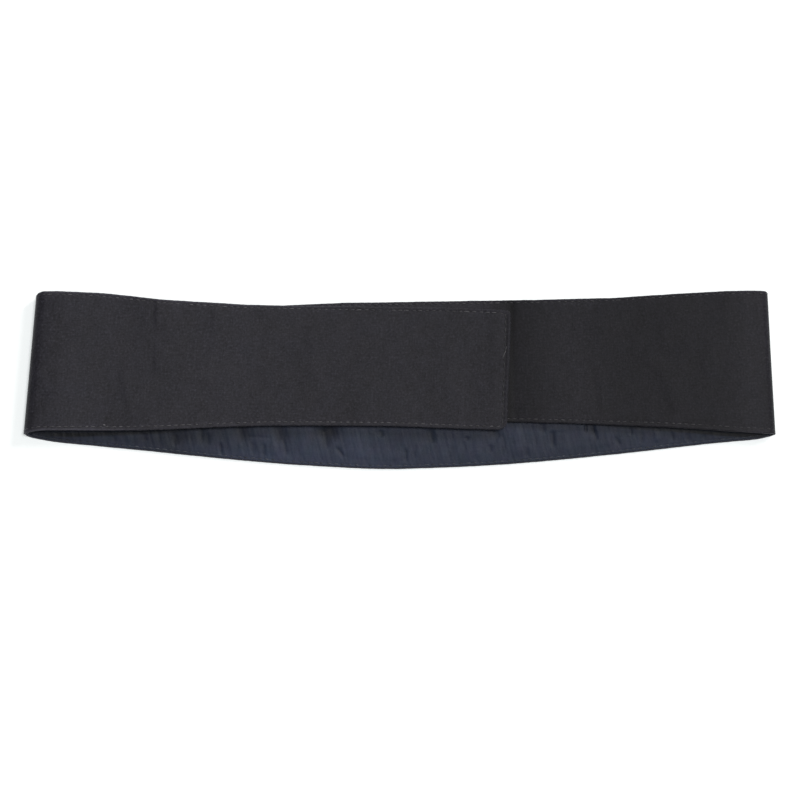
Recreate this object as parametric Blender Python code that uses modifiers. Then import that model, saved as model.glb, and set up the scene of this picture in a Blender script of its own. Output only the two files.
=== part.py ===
"""A plain waist band (cummerbund), fastened into a ring and laid flat.

The band is one long shaped strip of outer cloth with a lining of the same
cut. Laid flat, it makes five stretches of cloth, each with its lining:

  back        lies on the surface, face down, between the side folds
  left_fold   the soft turn at the left, and the way down from it
  overlap     lies flat from there, and ends in a rounded end on top
  right_fold  the pressed turn at the right, and the way down from it
  underlap    lies flat from there, and ends under the overlap

Frame: origin on the surface under the middle of the band, +X along the band,
+Y towards its upper edge, +Z up from the surface. Sizes below are in mm.
"""

import math
from functools import partial

import bmesh
import bpy
from mathutils import Vector

MM = 0.001

# ---------------------------------------------------------------- thickness
CLOTH_T = 1.0  # outer cloth with its fused interfacing
LINING_T = 1.0  # lining with its turned seam allowance
GAP = 0.3  # between any two pieces
PANEL_T = CLOTH_T + GAP + LINING_T  # one whole layer of the band
LINING_INSET = 0.7  # the outer cloth rolls this far past the lining's edge

# --------------------------------------------------------------- side folds
# The fold lines slope, so the flattened ring is wider at its lower edge.
# Each row: height Y, X of the left fold line, X of the right fold line.
FOLD_LINES = (
    # y      left     right
    (44.0, -181.4, 183.7),
    (-27.0, -187.9, 187.9),
)
LEFT_R = 4.8  # outer radius of the soft left fold
RIGHT_R = 3.2  # outer radius of the pressed right fold
# From each fold the upper layer stays level, then eases down onto what is below.
LEFT_HOLD, LEFT_FALL = 28.0, 32.0
RIGHT_HOLD, RIGHT_FALL = 3.2, 34.0

LAPPED_Z = 3 * PANEL_T + 2 * GAP  # top of the overlap where it lies on the underlap
SINGLE_Z = 2 * PANEL_T + GAP  # top of the underlap where it lies on the back

# --------------------------------------------------------- ends of the band
OVERLAP_END_X = (55.7, 54.1)  # the overlap's end, at Y +35 and at Y -25
UNDERLAP_END_X = (-122.0, -122.0)  # the hidden end of the underlap
END_Y = (35.0, -25.0)
TOP_CORNER_R = 2.2
LOW_CORNER_R = 4.4

# ------------------------------------------------------------ cut of the cloth
# One row for each section across the strip: how far the section is from the
# side fold, measured along the flattened layer, then the lower and the upper
# edge's Y there.
OVERLAP_CUT = (
    # from_fold  low     high
    (0.0, -27.1, 42.3),
    (0.9, -26.5, 43.4),
    (3.0, -26.0, 44.1),
    (7.0, -25.3, 44.2),
    (13.0, -25.0, 44.2),
    (22.0, -24.9, 43.9),
    (35.0, -25.1, 43.1),
    (50.0, -25.1, 41.6),
    (66.0, -24.9, 39.9),
    (86.0, -24.1, 38.6),
    (106.0, -23.3, 37.4),
    (126.0, -22.8, 36.9),
    (156.0, -22.9, 36.4),
    (186.0, -23.2, 36.0),
    (212.0, -24.2, 35.6),
    (232.0, -24.8, 34.9),
    (241.0, -25.1, 34.2),
)
UNDERLAP_CUT = (
    # from_fold  low     high
    (0.0, -27.4, 43.6),
    (0.8, -27.0, 44.2),
    (3.0, -26.8, 44.4),
    (9.0, -26.4, 44.5),
    (20.0, -25.9, 44.3),
    (36.0, -24.7, 43.5),
    (56.0, -23.3, 42.3),
    (76.0, -22.4, 41.0),
    (96.0, -21.6, 40.3),
    (116.0, -21.0, 39.8),
    (140.0, -20.8, 39.4),
    (180.0, -20.7, 38.8),
    (215.0, -20.7, 38.2),
    (240.0, -20.8, 37.2),
    (270.0, -21.2, 36.2),
    (310.0, -22.2, 36.0),
)
BACK_CUT = (
    # x from the left fold  low     high
    (0.0, -27.1, 42.3),
    (1.4, -28.0, 41.6),
    (3.5, -28.7, 41.2),
    (10.0, -30.1, 40.8),
    (18.0, -31.3, 40.2),
    (38.0, -33.2, 38.4),
    (58.0, -35.1, 36.9),
    (88.0, -38.2, 35.4),
    (118.0, -41.0, 34.4),
    (148.0, -43.2, 33.8),
    (178.0, -44.5, 33.5),
    (208.0, -43.9, 33.9),
    (238.0, -42.4, 34.8),
    (268.0, -39.9, 36.2),
    (298.0, -36.9, 38.2),
    (328.0, -33.5, 40.6),
    (352.0, -31.0, 42.3),
    (366.0, -29.7, 43.0),
    (373.0, -28.2, 43.3),
    (375.4, -27.4, 43.6),
)

ROWS = 4  # panels across the strip's width


# -------------------------------------------------------------------- helpers
def along(table, at, column):
    """A column of a table at a place, by a smooth curve through its rows."""
    xs = [row[0] for row in table]
    ys = [row[column] for row in table]
    if at <= xs[0]:
        return ys[0]
    if at >= xs[-1]:
        return ys[-1]
    k = max(i for i in range(len(xs) - 1) if xs[i] <= at)

    def slope(i):
        lo, hi = max(i - 1, 0), min(i + 1, len(xs) - 1)
        return (ys[hi] - ys[lo]) / (xs[hi] - xs[lo])

    span = xs[k + 1] - xs[k]
    t = (at - xs[k]) / span
    return (
        (2 * t**3 - 3 * t**2 + 1) * ys[k]
        + (t**3 - 2 * t**2 + t) * span * slope(k)
        + (3 * t**2 - 2 * t**3) * ys[k + 1]
        + (t**3 - t**2) * span * slope(k + 1)
    )


def between(pair, y, ends):
    """The straight line through two X values given at two Y values."""
    return pair[0] + (pair[1] - pair[0]) * (ends[0] - y) / (ends[0] - ends[1])


def fold_x(side, y):
    """X of a side fold's outermost line at height y."""
    (y0, left0, right0), (y1, left1, right1) = FOLD_LINES
    pair = (left0, left1) if side == "left" else (right0, right1)
    return between(pair, y, (y0, y1))


def ease(t):
    t = min(max(t, 0.0), 1.0)
    return t * t * (3 - 2 * t)


def bend(side):
    """Outer radius of a side fold."""
    return LEFT_R if side == "left" else RIGHT_R


def seam(side):
    """How far in a side fold's piece runs: to where the upper stretch lies flat."""
    return LEFT_HOLD + LEFT_FALL if side == "left" else RIGHT_HOLD + RIGHT_FALL


def level(stretch, a):
    """Height of an upper stretch's outer face past its fold, a mm in: it
    holds the fold's height for a while, then eases down to where it lies."""
    if stretch == "overlap":
        top, rest, start, run = 2 * LEFT_R, LAPPED_Z, LEFT_HOLD, LEFT_FALL
    else:
        top, rest, start, run = 2 * RIGHT_R, SINGLE_Z, RIGHT_HOLD, RIGHT_FALL
    return top + (rest - top) * ease((a - start) / run)


def layer_point(stretch, a, depth):
    """A point of a flat stretch, a mm in from the fold's outermost line and
    depth mm below its outer face: how far in it is, and its height."""
    if stretch == "back":
        return a, depth
    step = 0.05
    rise = (level(stretch, a + step) - level(stretch, a)) / step
    n = math.hypot(rise, 1.0)
    return a + depth * rise / n, level(stretch, a) - depth / n


def corner(from_end, radius):
    """How far a rounded corner has drawn the edge in, near the strip's end."""
    if from_end >= radius:
        return 0.0
    return radius - math.sqrt(max(radius**2 - (radius - from_end) ** 2, 0.0))


def spaced(start, end, step):
    n = max(1, round((end - start) / step))
    return [start + (end - start) * k / n for k in range(n + 1)]


# -------------------------------------------------------------------- surfaces
def section(low, high, share, z, left_line, right_line):
    """Points from the lower to the upper edge, on the line that is a share of
    the way from one slanted line to the other."""
    row = []
    for k in range(ROWS + 1):
        y = low + (high - low) * k / ROWS
        row.append((left_line(y) * (1 - share) + right_line(y) * share, y, z))
    return row


def back_surface(depth, inset):
    """The lower stretch, flat on the surface between the two folds."""
    width = BACK_CUT[-1][0]
    sections = []
    for a in spaced(LEFT_R + GAP / 2, width - RIGHT_R - GAP / 2, 10.0):
        low = along(BACK_CUT, a, 1) + inset
        high = along(BACK_CUT, a, 2) - inset
        sections.append(
            section(
                low, high, a / width, depth,
                lambda y: fold_x("left", y), lambda y: fold_x("right", y),
            )
        )
    return sections


def upper_surface(stretch, depth, inset):
    """An upper stretch, from its fold to its rounded end."""
    overlap = stretch == "overlap"
    cut, side = (OVERLAP_CUT, "left") if overlap else (UNDERLAP_CUT, "right")
    end_x = OVERLAP_END_X if overlap else UNDERLAP_END_X
    full = cut[-1][0]
    length = full - inset  # the end is an edge too
    places = spaced(seam(side) + GAP / 2, length - LOW_CORNER_R, 10.0)
    places += [
        length - LOW_CORNER_R * k for k in (0.62, 0.34, 0.14, 0.04)
    ] + [length]
    sections = []
    for a in places:
        low = along(cut, a, 1) + inset + corner(length - a, LOW_CORNER_R - inset)
        high = along(cut, a, 2) - inset - corner(length - a, TOP_CORNER_R - inset / 2)
        inward, z = layer_point(stretch, a, depth)
        sections.append(
            section(
                low, high, inward / full, z,
                lambda y: fold_x(side, y), lambda y: between(end_x, y, END_Y),
            )
        )
    return sections


def fold_surface(side, depth, inset):
    """A side fold: half a turn from the back's level to the upper layer's,
    and from there down to the seam where the upper stretch begins."""
    r = bend(side)
    width = BACK_CUT[-1][0]
    left = side == "left"
    stretch, upper = ("overlap", OVERLAP_CUT) if left else ("underlap", UNDERLAP_CUT)
    end_x = OVERLAP_END_X if left else UNDERLAP_END_X
    thickness = CLOTH_T if depth == 0 else LINING_T
    # the half turn stops short of the back by half a seam gap
    end = 90 - math.degrees(math.asin(GAP / 2 / (r - depth - thickness))) - 1.2
    turns = [-end] + spaced(-end + 2, 88, 2 * end / 12) + [90]
    sections = []
    for turn in turns:
        c, s = math.cos(math.radians(turn)), math.sin(math.radians(turn))
        a = r * (1 - c)
        if turn > 0:
            low, high = along(upper, a, 1), along(upper, a, 2)
        else:
            at = a if left else width - a
            low, high = along(BACK_CUT, at, 1), along(BACK_CUT, at, 2)
        inward, z = r - (r - depth) * c, r + (r - depth) * s
        share = inward / width if left else 1 - inward / width
        sections.append(
            section(
                low + inset, high - inset, share, z,
                lambda y: fold_x("left", y), lambda y: fold_x("right", y),
            )
        )
    for a in spaced(r + 3, seam(side) - GAP / 2, 5.0):
        inward, z = layer_point(stretch, a, depth)
        sections.append(
            section(
                along(upper, a, 1) + inset, along(upper, a, 2) - inset,
                inward / upper[-1][0], z,
                lambda y: fold_x(side, y), lambda y: between(end_x, y, END_Y),
            )
        )
    return sections


# ------------------------------------------------------------------- materials
def material(name, colour, roughness):
    made = bpy.data.materials.new(name)
    made.use_nodes = True
    shader = made.node_tree.nodes["Principled BSDF"]
    shader.inputs["Base Color"].default_value = (*colour, 1.0)
    shader.inputs["Roughness"].default_value = roughness
    shader.inputs["Metallic"].default_value = 0.0
    return made


# ---------------------------------------------------------------------- pieces
def strip(name, sections, thickness, outward, finish, collection):
    """An open grid laid on the sections, thickened inwards by Solidify."""
    mesh = bpy.data.meshes.new(name)
    bm = bmesh.new()
    bmesh.ops.create_grid(
        bm, x_segments=len(sections) - 1, y_segments=ROWS, size=0.5
    )
    # the grid's own places say which section and which row a vertex is
    for v in bm.verts:
        i = round((v.co.x + 0.5) * (len(sections) - 1))
        k = round((v.co.y + 0.5) * ROWS)
        v.co = [c * MM for c in sections[i][k]]
    bm.normal_update()
    # every face turns towards the outside of the ring
    bm.faces.ensure_lookup_table()
    middle = bm.faces[len(bm.faces) // 2]
    if middle.normal.dot(outward) < 0:
        bmesh.ops.reverse_faces(bm, faces=bm.faces[:])
    bm.to_mesh(mesh)
    bm.free()
    made = bpy.data.objects.new(name, mesh)
    collection.objects.link(made)
    made.data.materials.append(finish)
    thick = made.modifiers.new("thickness", "SOLIDIFY")
    thick.thickness = thickness * MM
    thick.offset = -1.0
    thick.use_even_offset = True
    made.data.shade_smooth()
    made.data.set_sharp_from_angle(angle=math.radians(35))
    return made


def main():
    for old in list(bpy.data.objects):
        bpy.data.objects.remove(old, do_unlink=True)
    collection = bpy.data.collections.new("cummerbund")
    bpy.context.scene.collection.children.link(collection)

    cloth = material("outer_cloth", (0.033, 0.032, 0.038), 0.75)
    lining = material("lining_cloth", (0.038, 0.045, 0.066), 0.5)

    stretches = (
        # name        surface                                        outward
        ("back", back_surface, Vector((0, 0, -1))),
        ("left_fold", partial(fold_surface, "left"), Vector((-1, 0, 0))),
        ("overlap", partial(upper_surface, "overlap"), Vector((0, 0, 1))),
        ("right_fold", partial(fold_surface, "right"), Vector((1, 0, 0))),
        ("underlap", partial(upper_surface, "underlap"), Vector((0, 0, 1))),
    )
    for name, surface, outward in stretches:
        strip(
            f"cloth_{name}",
            surface(0.0, 0.0),
            CLOTH_T,
            outward,
            cloth,
            collection,
        )
        strip(
            f"lining_{name}",
            surface(CLOTH_T + GAP, LINING_INSET),
            LINING_T,
            outward,
            lining,
            collection,
        )


main()
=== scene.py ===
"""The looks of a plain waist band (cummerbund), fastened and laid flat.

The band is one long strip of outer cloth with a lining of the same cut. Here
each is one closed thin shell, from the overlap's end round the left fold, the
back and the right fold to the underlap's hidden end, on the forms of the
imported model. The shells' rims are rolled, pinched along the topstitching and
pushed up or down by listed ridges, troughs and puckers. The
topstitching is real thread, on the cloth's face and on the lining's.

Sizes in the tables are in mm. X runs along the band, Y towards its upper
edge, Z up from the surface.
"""

import math

import bpy
import numpy as np
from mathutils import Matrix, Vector


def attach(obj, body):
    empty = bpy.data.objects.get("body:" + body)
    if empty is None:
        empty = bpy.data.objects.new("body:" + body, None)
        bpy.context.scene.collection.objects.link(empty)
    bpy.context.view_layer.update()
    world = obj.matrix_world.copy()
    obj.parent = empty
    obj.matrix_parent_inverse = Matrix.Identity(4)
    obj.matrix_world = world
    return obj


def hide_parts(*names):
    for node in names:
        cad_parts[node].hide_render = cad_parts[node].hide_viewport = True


MM = 0.001

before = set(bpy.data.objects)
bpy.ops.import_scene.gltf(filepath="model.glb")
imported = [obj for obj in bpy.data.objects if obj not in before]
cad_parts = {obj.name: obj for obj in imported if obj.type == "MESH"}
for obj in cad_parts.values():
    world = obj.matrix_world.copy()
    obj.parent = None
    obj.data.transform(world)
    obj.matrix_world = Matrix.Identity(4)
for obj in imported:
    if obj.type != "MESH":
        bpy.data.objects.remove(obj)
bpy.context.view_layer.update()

# =============================================================== the band's form
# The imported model's own sizes.
PANEL_T = 2.3  # one whole layer of the band
GAP = 0.3
FOLD_LINES = ((44.0, -181.4, 183.7), (-27.0, -187.9, 187.9))  # y, left x, right x
LEFT_R, RIGHT_R = 4.8, 3.2
LEFT_HOLD, LEFT_FALL = 28.0, 32.0
RIGHT_HOLD, RIGHT_FALL = 3.2, 34.0
LAPPED_Z = 3 * PANEL_T + 2 * GAP
SINGLE_Z = 2 * PANEL_T + GAP
OVERLAP_END_X = (55.7, 54.1)
UNDERLAP_END_X = (-122.0, -122.0)
END_Y = (35.0, -25.0)
TOP_CORNER_R = 2.2
LOW_CORNER_R = 5.2

OVERLAP_CUT = (
    # from_fold  low     high
    (0.0, -27.1, 42.3),
    (0.9, -26.5, 43.4),
    (3.0, -26.0, 44.1),
    (7.0, -25.3, 44.2),
    (13.0, -25.0, 44.2),
    (22.0, -24.9, 43.9),
    (35.0, -25.1, 43.1),
    (50.0, -25.1, 41.6),
    (66.0, -24.9, 39.9),
    (86.0, -24.1, 38.6),
    (106.0, -23.3, 37.4),
    (126.0, -22.8, 36.9),
    (156.0, -22.9, 36.4),
    (186.0, -23.2, 36.0),
    (212.0, -24.2, 35.6),
    (232.0, -24.8, 34.9),
    (241.0, -25.1, 34.2),
)
UNDERLAP_CUT = (
    # from_fold  low     high
    (0.0, -27.4, 43.6),
    (0.8, -27.0, 44.2),
    (3.0, -26.8, 44.4),
    (9.0, -26.4, 44.5),
    (20.0, -25.9, 44.3),
    (36.0, -24.7, 43.5),
    (56.0, -23.3, 42.3),
    (76.0, -22.4, 41.0),
    (96.0, -21.6, 40.3),
    (116.0, -21.0, 39.8),
    (140.0, -20.8, 39.4),
    (180.0, -20.7, 38.8),
    (215.0, -20.7, 38.2),
    (240.0, -20.8, 37.2),
    (270.0, -21.2, 36.2),
    (310.0, -22.2, 36.0),
)
BACK_CUT = (
    # x from the left fold  low     high
    (0.0, -27.1, 42.3),
    (1.4, -28.0, 41.6),
    (3.5, -28.7, 41.2),
    (10.0, -30.1, 40.8),
    (18.0, -31.3, 40.2),
    (38.0, -33.2, 38.4),
    (58.0, -35.1, 36.9),
    (88.0, -38.2, 35.4),
    (118.0, -41.0, 34.4),
    (148.0, -43.2, 33.8),
    (178.0, -44.5, 33.5),
    (208.0, -43.9, 33.9),
    (238.0, -42.4, 34.8),
    (268.0, -39.9, 36.2),
    (298.0, -36.9, 38.2),
    (328.0, -33.5, 40.6),
    (352.0, -31.0, 42.3),
    (366.0, -29.7, 43.0),
    (373.0, -28.2, 43.3),
    (375.4, -27.4, 43.6),
)
OVERLAP_L, UNDERLAP_L, BACK_L = OVERLAP_CUT[-1][0], UNDERLAP_CUT[-1][0], BACK_CUT[-1][0]

# ======================================================= cloth, seams and creases
CLOTH_R = 0.50  # half the outer cloth's thickness, the radius of its rolled rim
LINING_R = 0.42
LINING_DEPTH = 1.06  # the lining's outer face, below the cloth's
LINING_INSET = 0.7  # how far the cloth's rim rolls out past the lining's
GROW_LOW, GROW_HIGH, GROW_LEFT, GROW_RIGHT = 0.24, 0.20, 0.10, 0.25  # cloth stands proud

PITCH = 3.4  # from stitch to stitch
THREAD_R = 0.26
# How far each line of topstitching runs inside its edge, on the cloth's face
# and on the lining's (from the cloth's rim).
STITCH_IN = {
    # stretch   low   high
    "overlap": (2.00, 1.60),
    "back": (1.80, 1.60),
    "underlap": (2.50, 1.35),
}
DRIFT_IN = {"overlap": -0.22, "underlap": -0.75}  # of the low lines, towards the middle
END_STITCH_IN = 2.65
NEEDLE_LINE_IN = 1.95  # an older line of needle marks, outside the end's stitching

# The overlap's sewn end isn't quite straight: how far it stands out or in.
END_WANDER = (
    # y      dx
    (-27.0, -0.15),
    (-19.0, -0.24),
    (-8.0, -0.26),
    (2.0, -0.08),
    (10.0, 0.04),
    (18.0, 0.08),
    (27.0, 0.14),
    (36.0, 0.0),
)

# How much lower than its cut the front's lower edge hangs.
LOW_HANG = {
    "overlap": (
        # from_fold  mm
        (0.0, 0.0),
        (8.0, 0.05),
        (18.0, 0.28),
        (26.0, 0.20),
        (40.0, 0.13),
        (55.0, 0.04),
        (75.0, 0.0),
        (300.0, 0.0),
    ),
    "underlap": (
        (0.0, 0.05),
        (10.0, 0.04),
        (16.0, 0.0),
        (28.0, 0.0),
        (45.0, 0.20),
        (65.0, 0.32),
        (90.0, 0.36),
        (112.0, 0.38),
        (128.0, 0.28),
        (300.0, 0.1),
    ),
}

# Single stitches beside the lines: the end's back-tack and a pale one.
LOOSE_STITCHES = (
    # x0     y0      x1     y1    tone
    (53.1, 14.4, 51.5, 10.7, 1.1),
    (53.6, 16.6, 52.6, 14.0, 0.7),
    (-148.1, -22.6, -146.9, -22.7, 2.3),
)

# How high the front really lies, along its top face. The springy side folds
# stand fuller than the pressed model and the stretches between them sag.
OVERLAP_LEVEL = (
    # from_fold  z
    (0.0, 8.98),
    (2.5, 9.12),
    (4.8, 9.26),
    (6.5, 9.37),
    (9.0, 9.48),
    (12.0, 9.55),
    (15.0, 9.57),
    (19.0, 9.52),
    (25.0, 9.33),
    (32.0, 9.07),
    (40.0, 8.86),
    (50.0, 8.74),
    (62.0, 8.66),
    (75.0, 8.47),
    (90.0, 8.20),
    (110.0, 7.92),
    (135.0, 7.74),
    (165.0, 7.61),
    (195.0, 7.53),
    (222.0, 7.48),
    (229.0, 7.56),
    (234.0, 7.68),
    (241.0, 7.63),
)
UNDERLAP_LEVEL = (
    # from_fold  z
    (0.0, 6.60),
    (3.2, 6.78),
    (5.0, 6.92),
    (8.0, 7.08),
    (11.0, 7.18),
    (15.0, 7.25),
    (20.0, 7.27),
    (27.0, 7.21),
    (35.0, 7.08),
    (45.0, 6.88),
    (60.0, 6.52),
    (75.0, 6.16),
    (90.0, 5.82),
    (98.0, 5.68),
    (106.0, 5.58),
    (113.0, 5.48),
    (119.0, 5.34),
    (124.0, 5.14),
    (128.0, 4.90),
    (131.0, 4.74),
    (136.0, 4.80),
)

# Soft ridges (height above 0) and troughs (below 0) of the front's cloth. Each
# runs from one point to another; wide is how far it reaches to either side.
FRONT_CREASES = (
    # x0      y0     x1      y1    wide_left wide_right height
    # the hidden end of the underlap shows through as a short sharp step
    (-121.0, 44.0, -121.4, 25.0, 0.8, 9.0, 0.25),
    (-121.5, 17.0, -121.8, 4.0, 0.8, 7.0, 0.13),
    # soft ones of the left half
    (-138.0, 2.0, -135.0, -16.0, 1.6, 3.4, 0.12),
    (-92.0, 16.0, -101.0, 2.0, 1.8, 3.6, 0.07),
    (-101.0, 2.0, -80.0, -16.0, 1.8, 3.6, 0.06),
    (-92.0, 38.0, -90.5, 20.0, 3.0, 5.0, 0.12),
    (-44.0, 40.0, -43.0, -2.0, 3.4, 6.5, 0.10),
    (-18.0, 34.0, -20.0, -18.0, 6.0, 7.0, 0.08),
    (22.0, 24.0, 25.0, -12.0, 4.0, 5.0, 0.05),
    # shallow diagonals of the right half
    (100.0, 6.0, 101.0, -18.0, 1.2, 2.6, 0.06),
    (104.0, 44.0, 99.0, 12.0, 5.0, 8.0, 0.10),
    (122.0, 14.0, 132.0, 2.0, 3.0, 6.0, 0.11),
    (132.0, 2.0, 140.0, -16.0, 3.0, 6.0, 0.12),
    (138.0, 40.0, 131.0, 16.0, 4.0, 7.0, 0.10),
    (159.0, 22.0, 152.0, 2.0, 3.0, 5.0, 0.10),
    (165.0, 46.0, 160.0, 26.0, 3.4, 5.0, 0.08),
)

# Painted shading: broad lighter and darker bands of the cloth and the lining along X, standing in for how the light
# falls on them, with a painted shadow on the underlap beside the overlap's end.
CLOTH_PAINTED_SHADING = (
    # x       overlap underlap
    (-190.0, 0.96, 1.00),
    (-165.0, 1.07, 1.00),
    (-130.0, 0.97, 1.00),
    (-95.0, 1.06, 1.00),
    (-40.0, 0.95, 1.26),
    (10.0, 0.91, 1.04),
    (45.0, 0.85, 0.88),
    (55.2, 0.82, 0.20),
    (56.6, 0.82, 0.28),
    (58.2, 0.82, 0.46),
    (60.0, 0.82, 0.56),
    (66.0, 0.82, 0.55),
    (90.0, 0.82, 0.76),
    (106.0, 0.82, 0.57),
    (148.0, 0.82, 0.58),
    (162.0, 0.82, 0.58),
    (176.0, 0.82, 0.76),
    (190.0, 0.82, 0.55),
)
LINING_PAINTED_SHADING = (
    # x       tone
    (-190.0, 0.54),
    (-150.0, 0.98),
    (-128.0, 0.82),
    (-108.0, 0.72),
    (-85.0, 0.88),
    (-60.0, 1.06),
    (-25.0, 1.22),
    (8.0, 1.05),
    (45.0, 0.98),
    (75.0, 0.88),
    (120.0, 0.86),
    (150.0, 0.96),
    (175.0, 0.84),
    (190.0, 0.66),
)

# The deep shade in the mouths of the two side folds, just below the front, and
# a faint wide one between them.
LINING_SHADE = (
    # x      y      wide  depth
    (-183.0, -27.2, 1.00, 0.0),
    (-177.0, -27.3, 1.15, 0.60),
    (-170.0, -27.5, 1.20, 0.84),
    (-160.0, -27.5, 1.20, 0.90),
    (-150.0, -27.2, 1.10, 0.82),
    (-138.0, -26.9, 1.05, 0.74),
    (-127.0, -26.5, 0.95, 0.62),
    (-116.0, -26.2, 0.80, 0.44),
    (-106.0, -25.8, 0.70, 0.0),
    (-75.0, -28.8, 3.20, 0.0),
    (-60.0, -29.6, 4.00, 0.02),
    (-50.0, -29.8, 4.20, 0.14),
    (-40.0, -30.0, 4.30, 0.16),
    (-25.0, -30.0, 4.30, 0.12),
    (-8.0, -30.0, 4.30, 0.15),
    (10.0, -29.8, 4.30, 0.12),
    (24.0, -29.2, 3.80, 0.02),
    (40.0, -28.0, 3.00, 0.0),
    (95.0, -22.8, 0.70, 0.0),
    (106.0, -23.4, 0.75, 0.30),
    (125.0, -24.5, 0.95, 0.56),
    (145.0, -25.8, 1.05, 0.80),
    (158.0, -26.9, 1.10, 0.88),
    (168.0, -27.6, 1.15, 0.88),
    (176.0, -27.9, 1.10, 0.84),
    (181.0, -28.0, 0.90, 0.70),
    (185.0, -28.1, 0.70, 0.0),
)

# How much paler (or darker, below 0) the lining is along its lower edge.
LINING_LOW_EDGE_TONE = (
    # x      share
    (-190.0, 0.0),
    (-136.0, 0.0),
    (-122.0, -0.08),
    (-115.0, -0.14),
    (-109.0, 0.02),
    (-104.0, 0.24),
    (-92.0, 0.30),
    (-78.0, 0.30),
    (-66.0, 0.32),
    (-56.0, 0.22),
    (-46.0, 0.08),
    (-30.0, 0.03),
    (-10.0, 0.0),
    (104.0, 0.0),
    (118.0, 0.10),
    (130.0, 0.10),
    (142.0, 0.0),
    (190.0, 0.0),
)

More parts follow.
